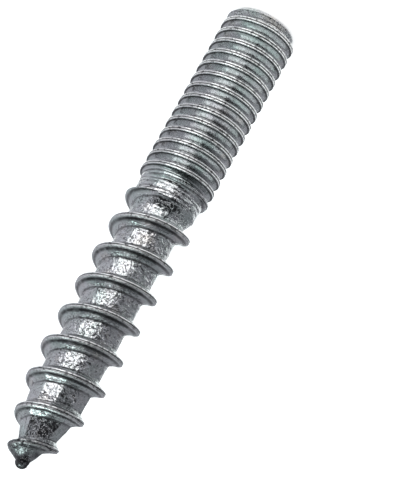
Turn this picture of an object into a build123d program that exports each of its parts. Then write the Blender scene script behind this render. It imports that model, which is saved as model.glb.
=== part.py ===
from build123d import *
from math import cos, pi, sin
import os

# Hanger bolt, in millimetres, standing on its flat end with the point up.
# The origin is the centre of the flat end, and +Z runs along the axis to the point.

total_length = 53.7

# Machine thread: 18 right-hand turns to the inch, rolled, with a chamfered flat end.
# Its crest crosses the +X side at the height of the flat end.
machine_diameter = 7.9
machine_pitch = 25.4 / 18
machine_depth = 0.85  # from crest to root
machine_length = 20.8  # height up to which the crest is whole
machine_runout = 1.5  # length in which the crest then sinks into the neck
end_flat_diameter = 6.8
end_chamfer_height = 0.75

# Plain neck between the threads: the blank before rolling, drawn in to both threads' cores.
neck_lower_diameter = 7.05
neck_upper_diameter = 6.85
neck_start = 20.6
neck_length = 2.45
neck_shoulder = 0.6  # length of the cone at its lower end, where the machine roots run out
neck_taper = 1.4  # length of the cone at its upper end

# Wood thread: coarse, right-handed, with thin rounded ridges on a plain core.
wood_diameter = 8.12
wood_core_diameter = 5.7
wood_pitch = 3.63
wood_start = 22.37  # height at which the first ridge crosses the +X side
wood_lead_in = 1.0  # length in which the ridge grows to full height
wood_foot_width = 1.8  # width of the ridge where it meets the core
wood_root_width = 0.85  # width above the fillet, at a third of the ridge's height
wood_shoulder_width = 0.68  # width below the rounded crest, at two thirds of its height

# Gimlet point: core and ridge both draw in, and the last turn of the ridge fades at a small nub.
ridge_taper_start = 41.0
core_taper_start = 45.0
ridge_end = 52.6
ridge_fade = 0.5  # length before and after ridge_end in which the ridge sinks into the core
ridge_end_diameter = 3.8
nub_length = 1.0
nub_step = 0.06  # how far the nub stands inside the core at its base
nub_base_diameter = 1.4
nub_tip_diameter = 1.2
nub_end_diameter = 0.7  # flat at the very end
nub_end_bevel = 0.25  # height of the bevel between the two

# Inside the bolt
hidden_clearance = 0.15  # how far the neck's cones end under the cores of the threads
seam_gap = 0.1  # how far each thread stops short of the neck's middle
points_per_turn = 8  # points of each turn of a helical edge

machine_radius = machine_diameter / 2
machine_root_radius = machine_radius - machine_depth
wood_radius = wood_diameter / 2
wood_core_radius = wood_core_diameter / 2
neck_end = neck_start + neck_length
neck_middle = neck_start + neck_length / 2
hidden_radius = min(machine_root_radius, wood_core_radius) - hidden_clearance
nub_base = total_length - nub_length
nub_base_radius = nub_base_diameter / 2


def blend(height, low, high):
    """0 below low, 1 above high, and a smooth rise between."""
    share = min(max((height - low) / (high - low), 0.0), 1.0)
    return share * share * (3 - 2 * share)


def taper(height, start, end, start_radius, end_radius):
    """Radius that is level up to start, draws in along a parabola and is level again from end."""
    share = min(max((height - start) / (end - start), 0.0), 1.0)
    return start_radius + (end_radius - start_radius) * share**2


def machine_edge(height, rise):
    """Radius of a machine thread edge: rise is 0 in the root and 1 on the crest."""
    full = machine_root_radius + machine_depth * rise
    return full + (hidden_radius - full) * blend(height, machine_length, machine_length + machine_runout)


def wood_edge(height, rise):
    """Radius of a wood thread edge: rise is 0 on the core and 1 on the ridge's crest."""
    core = taper(height, core_taper_start, nub_base, wood_core_radius, nub_base_radius + nub_step)
    crest = taper(height, ridge_taper_start, ridge_end, wood_radius, ridge_end_diameter / 2)
    grown = blend(height, wood_start, wood_start + wood_lead_in)
    gone = blend(height, ridge_end - ridge_fade, ridge_end + ridge_fade)
    return core + (crest - core) * rise * grown * (1 - gone)


def helical_edges(edge_radius, start, pitch, offset, rise, turns):
    """One spline for each of the turns of a thread edge whose radius follows edge_radius."""

    def place(turn):
        height = start + pitch * turn + offset
        radius = edge_radius(height, rise)
        return Vector(radius * cos(2 * pi * turn), radius * sin(2 * pi * turn), height)

    def direction(turn, step=0.001):
        return (place(turn + step) - place(turn - step)).normalized()

    edges = []
    for turn in turns:
        points = [place(turn + share / points_per_turn) for share in range(points_per_turn + 1)]
        tangents = [direction(turn), direction(turn + 1)]
        edges.append(Edge.make_spline(points, tangents=tangents, scale=False))
    return edges


def thread(profile, edge_radius, start, pitch, first_turn, last_turn):
    """Solid of a thread, from first_turn up to last_turn, that reaches in to the axis.

    The profile lists (offset along the axis, rise) over one pitch, and each side of it makes one
    ruled strip a turn. Both ends close with a helicoid and a flat step above the +X side.
    """
    turns = range(first_turn, last_turn + 1)
    lines = [helical_edges(edge_radius, start, pitch, offset, rise, turns) for offset, rise in profile]
    lines.append(lines[0][1:])
    last = last_turn - first_turn
    faces = []
    for turn in range(last):
        for lower, upper in zip(lines, lines[1:]):
            faces.append(Face.make_surface_from_curves(lower[turn], upper[turn]))
    bottom_rim = [line[0] @ 0 for line in lines]
    top_rim = [line[last - 1] @ 1 for line in lines]
    for bound, rim in ((lines[0][0], bottom_rim), (lines[0][last], top_rim)):
        foot = (0, 0, rim[0].Z)
        head = (0, 0, rim[-1].Z)
        faces.append(Face.make_surface_from_curves(bound, Edge.make_line(foot, head)))
        faces.append(Face(Wire.make_polygon([foot, *rim, head])))
    return Solid(Shell(faces))


machine_profile = [(-machine_pitch / 2, 0), (0, 1)]
machine_turns = round((machine_length + machine_runout) / machine_pitch) + 1

wood_side = [(wood_foot_width / 2, 0), (wood_root_width / 2, 1 / 3), (wood_shoulder_width / 2, 2 / 3)]
wood_profile = [(-offset, rise) for offset, rise in wood_side] + [(0, 1)] + wood_side[::-1]
wood_first_turn = -2
wood_last_turn = round((total_length - wood_start) / wood_pitch) + 1

os.makedirs("parts", exist_ok=True)

with BuildPart() as machine_end:
    add(thread(machine_profile, machine_edge, 0, machine_pitch, -1, machine_turns))
    split(bisect_by=Plane.XY, keep=Keep.TOP)
    split(bisect_by=Plane.XY.offset(neck_middle - seam_gap), keep=Keep.BOTTOM)
    with BuildSketch(Plane.XZ):
        Polygon(
            (end_flat_diameter / 2, 0),
            (machine_diameter, 0),
            (machine_diameter, end_chamfer_height),
            (machine_radius, end_chamfer_height),
            align=None,
        )
    revolve(axis=Axis.Z, mode=Mode.SUBTRACT)

with BuildPart() as hanger_bolt:
    add(thread(wood_profile, wood_edge, wood_start, wood_pitch, wood_first_turn, wood_last_turn))
    split(bisect_by=Plane.XY.offset(nub_base), keep=Keep.BOTTOM)
    split(bisect_by=Plane.XY.offset(neck_middle + seam_gap), keep=Keep.TOP)
    with BuildSketch(Plane.XZ):
        Polygon(
            (0, nub_base - nub_length),
            (nub_base_radius, nub_base - nub_length),
            (nub_base_radius, nub_base),
            (nub_tip_diameter / 2, total_length - nub_end_bevel),
            (nub_end_diameter / 2, total_length),
            (0, total_length),
            align=None,
        )
    revolve(axis=Axis.Z)
    with BuildSketch(Plane.XZ):
        Polygon(
            (0, neck_start - neck_shoulder),
            (hidden_radius, neck_start - neck_shoulder),
            (neck_lower_diameter / 2, neck_start),
            (neck_upper_diameter / 2, neck_end),
            (hidden_radius, neck_end + neck_taper),
            (0, neck_end + neck_taper),
            align=None,
        )
    revolve(axis=Axis.Z)
    add(machine_end.part)

hanger_bolt.part.label = "hanger_bolt"
export_step(hanger_bolt.part, "parts/hanger_bolt.step")
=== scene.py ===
from math import cos, pi

import bpy
import numpy as np
from mathutils import Matrix, Vector, noise


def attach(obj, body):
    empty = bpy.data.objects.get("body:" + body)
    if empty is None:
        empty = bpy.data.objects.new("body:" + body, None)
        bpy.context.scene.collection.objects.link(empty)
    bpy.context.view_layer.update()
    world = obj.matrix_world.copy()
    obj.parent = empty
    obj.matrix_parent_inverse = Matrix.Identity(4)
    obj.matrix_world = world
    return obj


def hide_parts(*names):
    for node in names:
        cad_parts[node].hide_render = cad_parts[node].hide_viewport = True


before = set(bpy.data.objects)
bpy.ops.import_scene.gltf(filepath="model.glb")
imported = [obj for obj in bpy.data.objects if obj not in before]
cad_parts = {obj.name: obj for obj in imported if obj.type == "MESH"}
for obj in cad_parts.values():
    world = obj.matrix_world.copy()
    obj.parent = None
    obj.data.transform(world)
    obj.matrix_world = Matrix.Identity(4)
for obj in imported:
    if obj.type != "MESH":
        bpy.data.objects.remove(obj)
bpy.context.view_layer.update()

# Hanger bolt
# A headless steel bolt rolled from one round blank: a machine thread, a plain neck and a coarse wood
# thread that runs out in a gimlet point. It is one piece of steel, so it is one closed mesh here.
# Its surface is two spiral grids that follow the threads' helices and meet in a ring on the neck.
MM = 0.001
columns = 132  # points in each turn of both grids
total_length = 53.7


def blend(height, low, high):
    """0 below low, 1 above high, and a smooth rise between."""
    share = np.clip((height - low) / (high - low), 0.0, 1.0)
    return share * share * (3 - 2 * share)


def larger(first, second, fillet):
    """The larger of two radii, with a soft fillet where they cross."""
    share = np.clip(0.5 + 0.5 * (first - second) / fillet, 0.0, 1.0)
    return second + (first - second) * share + fillet * share * (1 - share)


def smaller(first, second, fillet):
    """The smaller of two radii, with a soft rounding where they cross."""
    return -larger(-first, -second, fillet)


def over_profile(height, angle, profile, start, pitch):
    """Where each point lies along a thread's profile, as its offset from the crest."""
    along = height - start - pitch * angle / (2 * pi)
    return (along + pitch / 2) % pitch - pitch / 2


def spiral(profile, start, pitch, low, high, radius_at):
    """Points and faces of a thread's surface between two heights.

    The profile lists (offset, rise) over one pitch, and the rows of one turn go on into the next.
    Points past a height lie on the ring at that height.
    """
    stations = profile[:-1, 0]
    first = int(np.floor((low - start) / pitch)) - 1
    last = int(np.ceil((high - start) / pitch)) + 1
    column = np.arange(first * columns, last * columns + 1)
    turn = column[:, None] / columns
    height = np.clip(start + pitch * turn + stations[None, :], low, high)
    angle = 2 * pi * turn + 0 * height
    offset = over_profile(height, angle, profile, start, pitch)
    rise = np.interp(offset, profile[:, 0], profile[:, 1])
    radius = radius_at(height, angle, rise)
    points = np.stack([radius * np.cos(angle), radius * np.sin(angle), height], -1).reshape(-1, 3)
    rows = len(stations)
    quads = []
    for row in range(rows):
        step = row + 1 if row + 1 < rows else rows * columns
        here = np.arange(len(column) - 1) * rows
        if row + 1 == rows:
            here = here[: len(column) - 1 - columns]
        quads.append(np.stack([here + row, here + row + rows, here + rows + step, here + step], 1))
    quads = np.concatenate(quads)
    level = points[quads, 2]
    inside = (level.max(1) > low) & (level.min(1) < high)
    return points, np.abs(offset).ravel(), quads[inside]


# Neck: the blank as it was before rolling. The dies left ring marks on it, and its upper end drops
# down a short cone to the core of the wood thread.
neck_lower_diameter = 7.05
neck_upper_diameter = 6.85
neck_start = 20.6
neck_end = 23.05
neck_shoulder = 0.6
neck_taper = 1.4
neck_middle = (neck_start + neck_end) / 2
hidden_radius = 2.7
ring_marks = [(21.25, 0.05), (21.62, 0.04), (22.0, 0.05), (22.55, 0.03)]  # height and depth
ring_mark_width = 0.07
fillet = 0.08  # where the threads and the chamfer meet their neighbours


def neck_radius(height):
    """The neck's own radius, which sinks under the roots of both threads at its ends."""
    heights = [neck_start - neck_shoulder, neck_start, neck_end, neck_end + neck_taper]
    radii = [hidden_radius, neck_lower_diameter / 2, neck_upper_diameter / 2, hidden_radius]
    radius = np.interp(height, heights, radii, left=0, right=0)
    for middle, depth in ring_marks:
        radius = radius - depth * np.exp(-(((height - middle) / ring_mark_width) ** 2))
    return radius


# Machine thread: 18 right-hand turns to the inch. The dies leave a fold along its crest, between
# two lips, and a crease beside each lip. The chamfer cuts the first crest away, and the last ones
# sink into the neck.
machine_diameter = 7.9
machine_pitch = 25.4 / 18
machine_depth = 0.85
machine_start = 0.11
machine_length = 20.8
machine_runout = 1.5
end_flat_diameter = 6.8
end_chamfer_height = 0.75
machine_root = machine_diameter / 2 - machine_depth


def machine_radius_at(height, angle, rise):
    """Radius of the machine thread's end of the bolt."""
    full = machine_root + machine_depth * rise
    gone = blend(height, machine_length, machine_length + machine_runout)
    sunk = full + (hidden_radius - full) * gone
    slope = (machine_diameter - end_flat_diameter) / 2 / end_chamfer_height
    chamfered = smaller(sunk, end_flat_diameter / 2 + slope * height, fillet)
    return larger(chamfered, neck_radius(height), fillet)


def both_sides(half):
    """A thread's whole profile, from the half on one side of its crest."""
    return np.array([(-offset, rise) for offset, rise in half[:0:-1]] + half)


machine_crease = 0.26  # distance of the creases from the crest
machine_lip = [(0, 0.87), (0.04, 0.9), (0.055, 0.975), (0.075, 0.995), (0.185, 1.0), (0.205, 0.985)]
machine_flank = [(0.245, 0.88), (0.265, 0.79), (0.3, 0.69), (0.42, 0.36), (0.57, 0.06)]
machine_profile = both_sides(machine_lip + machine_flank + [(machine_pitch / 2, 0)])

# Wood thread: a thin ridge with the same folded crest and satin sides, on a core that the dies left
# crinkled. Towards the point the core keeps the flats of the dies that pinched it, and the ridge
# fades beside a small blunt nub.
wood_diameter = 8.12
wood_core_diameter = 5.7
wood_pitch = 3.63
wood_start = 22.37
wood_lead_in = 1.0
ridge_taper_start = 41.0
core_taper_start = 45.0
ridge_end = 52.7
ridge_fade = 0.6
ridge_end_diameter = 3.8
nub_length = 1.0
nub_diameter = 1.4
nub_waist = 53.08  # height of the groove round the nub
nub_waist_depth = 0.07
nub_waist_width = 0.1
flats = 9
flats_start = 43.6
flats_growth = 1.6  # length in which the flats reach their full depth
flats_end = (51.4, 52.3)
flats_turn = 0.0  # place of the first edge between two flats, in radians


def taper(height, start, end, start_radius, end_radius):
    """Radius that is level up to start, draws in along a parabola and is level again from end."""
    share = np.clip((height - start) / (end - start), 0.0, 1.0)
    return start_radius + (end_radius - start_radius) * share**2


def flattened(height, angle):
    """Share of the core's radius that the flats leave, 1 on the edges between them."""
    from_middle = (angle - flats_turn) % (2 * pi / flats) - pi / flats
    share = cos(pi / flats) / np.cos(from_middle)
    depth = blend(height, flats_start, flats_start + flats_growth) * (1 - blend(height, *flats_end))
    return 1 - (1 - share) * depth


def wood_radius_at(height, angle, rise):
    """Radius of the wood thread's end of the bolt."""
    nub_base = total_length - nub_length
    core = taper(height, core_taper_start, nub_base, wood_core_diameter / 2, nub_diameter / 2)
    core = core * flattened(height, angle)
    crest = taper(height, ridge_taper_start, ridge_end, wood_diameter / 2, ridge_end_diameter / 2)
    grown = blend(height, wood_start, wood_start + wood_lead_in)
    gone = blend(height, ridge_end - ridge_fade, ridge_end + ridge_fade)
    radius = core + (crest - core) * rise * grown * (1 - gone)
    radius = radius - nub_waist_depth * np.exp(-(((height - nub_waist) / nub_waist_width) ** 2))
    left = np.clip((total_length - height) / (nub_diameter / 2), 0.0, 1.0)
    radius = radius * np.sqrt(1 - (1 - left) ** 2)
    return larger(radius, neck_radius(height), fillet) * (height < total_length)


wood_crease = 0.345  # distance of the creases from the crest
wood_lip = [(0, 0.95), (0.035, 0.965), (0.055, 0.995), (0.075, 1.0), (0.17, 0.985), (0.2, 0.95)]
wood_flank = [(0.25, 0.86), (0.3, 0.76), (0.33, 0.69), (0.37, 0.62), (0.48, 0.44), (0.6, 0.27)]
wood_foot = [(0.72, 0.12), (0.81, 0.03), (0.9, 0)]
wood_core = [(offset, 0) for offset in (1.02, 1.14, 1.26, 1.38, 1.5, 1.62, 1.72, wood_pitch / 2)]
wood_profile = both_sides(wood_lip + wood_flank + wood_foot + wood_core)

machine_points, machine_offset, machine_quads = spiral(
    machine_profile, machine_start, machine_pitch, 0, neck_middle, machine_radius_at
)
wood_points, wood_offset, wood_quads = spiral(
    wood_profile, wood_start, wood_pitch, neck_middle, total_length, wood_radius_at
)


def hammered(points, size, seed):
    """Smooth lumps of one size, from -1 to 1, for each of the points."""
    shift = Vector((seed, 2.7 * seed, 5.1 * seed))
    return np.array([noise.noise(Vector(point) / size + shift) for point in points])


def pushed(points, depth, limit):
    """The points moved in or out along their radius, never past a limit."""
    radius = np.hypot(points[:, 0], points[:, 1])
    wanted = np.minimum(radius + depth, limit)
    share = np.where(radius > 0.05, wanted / np.maximum(radius, 0.05), 1.0)
    return points * np.stack([share, share, np.ones(len(points))], 1)


# The dies squeeze the core of the wood thread, which leaves it crinkled, and mark the rest less.
margin = 0.001  # how far the crests stay inside their full diameters
wood_radius = np.hypot(wood_points[:, 0], wood_points[:, 1])
on_core = 1 - blend(wood_radius, wood_core_diameter / 2 + 0.1, wood_core_diameter / 2 + 0.45)
on_core = np.maximum(on_core, 0.6 * (1 - blend(wood_points[:, 2], neck_end, neck_end + 0.3)))
away_from_ends = blend(wood_points[:, 2], neck_middle, neck_middle + 0.3)
away_from_ends *= 1 - blend(wood_points[:, 2], total_length - 1.2, total_length - 0.2)
crinkle = 0.028 * hammered(wood_points, 0.5, 3) + 0.014 * hammered(wood_points, 0.3, 8)
crinkle *= (0.25 + 0.75 * on_core) * away_from_ends
wood_points = pushed(wood_points, crinkle, wood_diameter / 2 - margin)
machine_marks = 0.012 * hammered(machine_points, 0.7, 5) + 0.004 * hammered(machine_points, 0.35, 6)
machine_marks *= blend(machine_points[:, 2], 0.0, 0.2)
machine_marks *= 1 - blend(machine_points[:, 2], neck_middle - 0.3, neck_middle)
machine_points = pushed(machine_points, machine_marks, machine_diameter / 2 - margin)

# Flat end: a disc sheared off square, with a few rings of points inside its rim.
end_rings = [1.0, 0.97, 0.93, 0.8, 0.6, 0.4, 0.2, 0.0]
end_angle = 2 * pi * np.arange(columns) / columns
rim_offset = over_profile(0 * end_angle, end_angle, machine_profile, machine_start, machine_pitch)
rim_rise = np.interp(rim_offset, machine_profile[:, 0], machine_profile[:, 1])
rim = machine_radius_at(0 * end_angle, end_angle, rim_rise)
end_points = []
for share in end_rings:
    reach = rim * share
    end_points.append(np.stack([reach * np.cos(end_angle), reach * np.sin(end_angle), 0 * rim], 1))
end_points = np.concatenate(end_points)
end_quads = []
for ring in range(len(end_rings) - 1):
    here = np.arange(columns)
    after = (here + 1) % columns
    end_quads.append(np.stack([here, here + columns, after + columns, after], 1) + ring * columns)
end_quads = np.concatenate(end_quads)

# Painted shade darkens the fold, the creases and the foot of both threads and the ring marks, with some
# dirt in the fold, and the last ridge's flank and the nub are painted dark too. These lines, the lips,
# which are painted lighter as polished metal and as painted highlight, and the crinkled core are kept as
# masks for the colour.
fold_width = 0.05
foot_width = 0.06


def crest_masks(offset, crease_at, crease_width, foot_at, whole):
    """Masks of the painted shade lines and of the lips between them, which are painted lighter, for points
    of one thread.
    """
    lines = np.exp(-((offset / fold_width) ** 4))
    lines = lines + np.exp(-(((offset - crease_at) / crease_width) ** 4))
    lips = np.exp(-((offset / (0.8 * crease_at)) ** 6)) * (1 - np.clip(lines, 0, 1))
    foot = np.exp(-(((offset - foot_at) / foot_width) ** 2))
    return np.clip(lines + foot, 0, 1) * whole, lips * whole


on_crests = blend(machine_points[:, 2], 0.7, 1.0) * (1 - blend(machine_points[:, 2], 20.9, 21.4))
on_ridges = blend(wood_points[:, 2], 22.2, 22.9)
on_ridges = on_ridges * (1 - blend(wood_points[:, 2], ridge_end - ridge_fade, ridge_end))
machine_foot_at = machine_pitch / 2 + 0.03
machine_lines, machine_lips = crest_masks(
    machine_offset, machine_crease, 0.035, machine_foot_at, on_crests
)
wood_lines, wood_lips = crest_masks(wood_offset, wood_crease, 0.065, 0.84, on_ridges)

# Painted highlight on the ridges' lips and painted shade in their lines are strongest on the +X side,
# which faces the camera and the front lamp.
lit_side = blend(wood_points[:, 0] / np.maximum(wood_radius, 0.05), 0.2, 0.9)
wood_lips *= 0.25 + 0.75 * lit_side
wood_lines *= 0.75 + 0.25 * lit_side
# Painted shade on the last ridge's flank and over the nub.
wood_lines = np.maximum(wood_lines, 0.6 * blend(wood_points[:, 2], 50.4, 51.6))
wood_lines = np.maximum(wood_lines, blend(wood_points[:, 2], 52.5, 52.9))
# Painted shade in the ring marks, on both grids.
for middle in [mark[0] for mark in ring_marks]:
    lower_ring_shade = 0.8 * np.exp(-(((machine_points[:, 2] - middle) / fold_width) ** 2))
    upper_ring_shade = 0.8 * np.exp(-(((wood_points[:, 2] - middle) / fold_width) ** 2))
    machine_lines = np.maximum(machine_lines, lower_ring_shade)
    wood_lines = np.maximum(wood_lines, upper_ring_shade)
flat_end = np.zeros(len(end_points))
fold = np.concatenate([machine_lines, wood_lines, flat_end])
lip = np.concatenate([machine_lips, wood_lips, flat_end])
on_chamfer = 0.7 * (1 - blend(machine_points[:, 2], 0.8, 1.1))
on_core = on_core * (1 - 0.5 * blend(wood_points[:, 2], flats_start, flats_start + flats_growth))
core_mask = np.concatenate([on_chamfer, on_core, flat_end])

# The three grids become one mesh, and their shared rings are welded.
weld = 0.0005 * MM
points = np.concatenate([machine_points, wood_points, end_points]) * MM
wood_quads = wood_quads + len(machine_points)
end_quads = end_quads + len(machine_points) + len(wood_points)
quads = np.concatenate([machine_quads, wood_quads, end_quads])
keys = np.round(points / weld).astype(np.int64)
kept, picked, place = np.unique(keys, axis=0, return_index=True, return_inverse=True)
quads = place.ravel()[quads]
faces = []
for quad in quads:
    corner = [int(quad[k]) for k in range(4) if quad[k] != quad[k - 1]]
    if len(corner) > 2:
        faces.append(corner)
used = np.unique(np.concatenate([np.array(face) for face in faces]))
number = np.full(len(kept), -1)
number[used] = np.arange(len(used))
picked = picked[used]
mesh = bpy.data.meshes.new("hanger_bolt_plated")
mesh.from_pydata(points[picked].tolist(), [], [[int(number[k]) for k in face] for face in faces])
mesh.update()
for name, mask in (("fold", fold), ("lip", lip), ("core", core_mask)):
    mesh.attributes.new(name, "FLOAT", "POINT").data.foreach_set("value", mask[picked].astype(np.float32))
bolt = bpy.data.objects.new("plated_bolt", mesh)
bpy.context.scene.collection.objects.link(bolt)
mesh.shade_smooth()


class Socket:
    """An output of a shader node that can be added, multiplied and so on like a number."""

    def __init__(self, tree, output):
        self.tree = tree
        self.output = output

    def maths(self, operation, first, second=0.0):
        return node(self.tree, "ShaderNodeMath", {"operation": operation}, {0: first, 1: second})

    def __add__(self, other):
        return self.maths("ADD", self, other)

    def __mul__(self, other):
        return self.maths("MULTIPLY", self, other)

    def __sub__(self, other):
        return self.maths("SUBTRACT", self, other)

    def __rsub__(self, other):
        return self.maths("SUBTRACT", other, self)

    def __abs__(self):
        return self.maths("ABSOLUTE", self)

    __radd__ = __add__
    __rmul__ = __mul__

    def between(self, low, high):
        """0 below low, 1 above high, and a smooth rise between."""
        settings = {"interpolation_type": "SMOOTHSTEP"}
        return node(self.tree, "ShaderNodeMapRange", settings, {0: self, 1: low, 2: high})


def node(tree, kind, settings, inputs, output=0):
    """Adds a node, sets it, then fills or links its inputs, and gives one of its outputs."""
    made = tree.nodes.new(kind)
    for name, value in settings.items():
        if name == "stops":
            ramp = made.color_ramp.elements
            while len(ramp) < len(value):
                ramp.new(0.5)
            for stop, (place, colour) in zip(ramp, value):
                stop.position = place
                stop.color = (*colour, 1.0)
        else:
            setattr(made, name, value)
    for name, value in inputs.items():
        if isinstance(value, Socket):
            tree.links.new(value.output, made.inputs[name])
        else:
            made.inputs[name].default_value = value
    return Socket(tree, made.outputs[output]) if made.outputs else None


zinc = bpy.data.materials.new("zinc_plated_steel")
zinc.use_nodes = True
tree = zinc.node_tree
tree.nodes.clear()
place_on_bolt = node(tree, "ShaderNodeTexCoord", {}, {}, "Object")


def speckle(per_mm, detail=2.0, kind="Fac"):
    """Noise over the bolt with so many lumps to the millimetre."""
    inputs = {"Vector": place_on_bolt, "Scale": per_mm / MM, "Detail": detail}
    return node(tree, "ShaderNodeTexNoise", {}, inputs, kind)


on_seam_dirt_and_shade_lines = node(tree, "ShaderNodeAttribute", {"attribute_name": "fold"}, {}, "Fac")
on_lip = node(tree, "ShaderNodeAttribute", {"attribute_name": "lip"}, {}, "Fac")
on_core_here = node(tree, "ShaderNodeAttribute", {"attribute_name": "core"}, {}, "Fac")
patches = speckle(0.45, 3.0)
green_steel, plain_steel, violet_steel, warm_steel = (
    (0.55, 0.61, 0.60),
    (0.58, 0.605, 0.605),
    (0.6, 0.605, 0.62),
    (0.63, 0.61, 0.59),
)
tint = node(
    tree,
    "ShaderNodeValToRGB",
    {"stops": [(0.32, green_steel), (0.47, plain_steel), (0.6, violet_steel), (0.72, warm_steel)]},
    {"Fac": patches},
)
pits = speckle(4.5, 3.0).between(0.56, 0.66)
# Dark gaps break the lips' painted highlight into dashes.
gaps = on_lip * speckle(3.0, 2.0).between(0.56, 0.6)
# Painted shade in the dark lines, on the last ridge's flank and on the nub, with some dirt in the crest
# fold; random dark specks join it below.
seam_dirt_and_painted_shade = on_seam_dirt_and_shade_lines * (1.0 + 1.4 * (speckle(1.5) - 0.5))
dirt_and_painted_shade = seam_dirt_and_painted_shade + (0.25 + 0.6 * on_core_here) * pits + 0.75 * gaps
# The lips are painted lighter: polished crest metal, and a painted highlight.
polished_and_highlit = node(
    tree,
    "ShaderNodeMix",
    {"data_type": "RGBA", "clamp_factor": True},
    {0: 0.9 * on_lip, 6: tint, 7: (0.86, 0.85, 0.85, 1)},
    2,
)
colour_with_painted_light = node(
    tree,
    "ShaderNodeMix",
    {"data_type": "RGBA", "clamp_factor": True},
    {0: dirt_and_painted_shade, 6: polished_and_highlit, 7: (0.05, 0.05, 0.053, 1)},
    2,
)
creases = 1.0 - abs(speckle(2.2) - 0.5).between(0.0, 0.03)
relief = (0.28 + 1.4 * on_core_here) * (speckle(2.4) + 0.15 * speckle(6.0) - 0.4 * creases)
relief = relief + 0.3 * on_lip * speckle(4.0)
plating_bump = node(tree, "ShaderNodeBump", {}, {"Height": relief, "Strength": 1.0, "Distance": 0.08 * MM})
surface = node(
    tree,
    "ShaderNodeBsdfPrincipled",
    {},
    {
        "Base Color": colour_with_painted_light,
        "Metallic": 1.0,
        "Roughness": 0.09 + 0.12 * patches + 0.1 * dirt_and_painted_shade + 0.15 * on_lip,
        "Normal": plating_bump,
    },
)
node(tree, "ShaderNodeOutputMaterial", {}, {"Surface": surface})
mesh.materials.append(zinc)

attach(bolt, "root")
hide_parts("hanger_bolt")

# Floor
# A white card that the bolt stands on. A corner is cut off it, so that light also reaches the bolt
# from in front and below. It is white to the camera and in the metal's reflections, and keeps the
# bolt's shadow.
floor_mesh = bpy.data.meshes.new("floor")
floor_corners = [(-0.25, -0.05, 0), (0.012, -0.05, 0), (0.03, -0.016, 0)]
floor_corners += [(-0.026, 0.036, 0), (-0.25, 0.036, 0)]
floor_mesh.from_pydata(floor_corners, [], [(0, 1, 2, 3, 4)])
floor = bpy.data.objects.new("floor", floor_mesh)
bpy.context.scene.collection.objects.link(floor)
white = bpy.data.materials.new("white_table")
white.use_nodes = True
tree = white.node_tree
tree.nodes.clear()
matt = node(tree, "ShaderNodeBsdfDiffuse", {}, {"Color": (0.9, 0.9, 0.9, 1)})
glow = node(tree, "ShaderNodeEmission", {}, {"Color": (1, 1, 1, 1), "Strength": 0.75})
seen = node(tree, "ShaderNodeLightPath", {}, {}, "Is Camera Ray")
mirrored = node(tree, "ShaderNodeLightPath", {}, {}, "Is Glossy Ray")
shown = node(tree, "ShaderNodeMixShader", {}, {0: seen + mirrored, 2: glow})
both = node(tree, "ShaderNodeAddShader", {}, {0: matt, 1: shown})
node(tree, "ShaderNodeOutputMaterial", {}, {"Surface": both})
floor_mesh.materials.append(white)

# Light
# A pale grey room that is darker behind the camera, a long soft box overhead and a wide one that
# lights the bolt from in front and below.
room = bpy.data.worlds.new("room")
bpy.context.scene.world = room
room.use_nodes = True
tree = room.node_tree
tree.nodes.clear()
towards = node(tree, "ShaderNodeTexCoord", {}, {}, "Generated")
split = [node(tree, "ShaderNodeSeparateXYZ", {}, {"Vector": towards}, axis) for axis in "XYZ"]
ahead, leftwards, upwards = split


def mixed(share, first, second):
    """A colour between two, by a share from 0 to 1."""
    return node(tree, "ShaderNodeMix", {"data_type": "RGBA"}, {0: share, 6: first, 7: second}, 2)


walls = mixed(0.5 + 0.5 * leftwards, (0.25, 0.255, 0.275, 1), (0.63, 0.64, 0.69, 1))
ceiling = mixed(upwards.between(0.55, 0.9), walls, (0.36, 0.4, 0.41, 1))
across = (leftwards + 0.05) * 1.1
aloft = (upwards - 0.2) * 1.7
far_from_camera = (across * across + aloft * aloft).between(0.55, 1.1)
behind = ahead.between(0.25, 0.0)
darker = 1.0 - (1.0 - far_from_camera) * (1.0 - behind)
shade = mixed(darker, (0.02, 0.02, 0.022, 1), ceiling)
air = node(tree, "ShaderNodeBackground", {}, {"Color": shade, "Strength": 1.0})
node(tree, "ShaderNodeOutputWorld", {}, {"Surface": air})


def soft_box(name, position, aim, width, height, brightness, colour=(1, 1, 1)):
    """A soft box that faces a point of the bolt, with its height upright or away from the bolt."""
    lamp = bpy.data.lights.new(name, "AREA")
    lamp.shape = "RECTANGLE"
    lamp.size = width
    lamp.size_y = height
    lamp.energy = brightness * pi * width * height
    lamp.color = colour
    box = bpy.data.objects.new(name, lamp)
    box.location = Vector(position)
    box.rotation_euler = (Vector(aim) - Vector(position)).to_track_quat("-Z", "Y").to_euler()
    box.visible_camera = False
    bpy.context.scene.collection.objects.link(box)


middle = (0, 0, 0.027)
soft_box("overhead", (-0.03, 0.04, 0.5), middle, 0.42, 0.24, 2.7, (0.84, 1.0, 0.98))
soft_box("front_and_below", (0.38, 0.18, -0.17), middle, 0.54, 0.44, 1.7)

# Camera
# It looks down on the point from the side, rolled so that the bolt lies across the frame.
camera = bpy.data.cameras.new("camera")
camera.lens = 180
camera.sensor_width = 36
camera.clip_start = 0.01
camera.clip_end = 10
viewer = bpy.data.objects.new("camera", camera)
right = Vector((0.17696, -0.87666, -0.44738))
down = Vector((-0.30975, -0.48106, 0.82014))
forward = Vector((-0.93421, -0.00655, -0.35667))
turned = Matrix((right, -down, -forward)).transposed().to_4x4()
viewer.matrix_world = Matrix.Translation((0.225465, -0.003265, 0.110192)) @ turned
bpy.context.scene.collection.objects.link(viewer)
bpy.context.scene.camera = viewer
bpy.context.scene.view_settings.view_transform = "Standard"
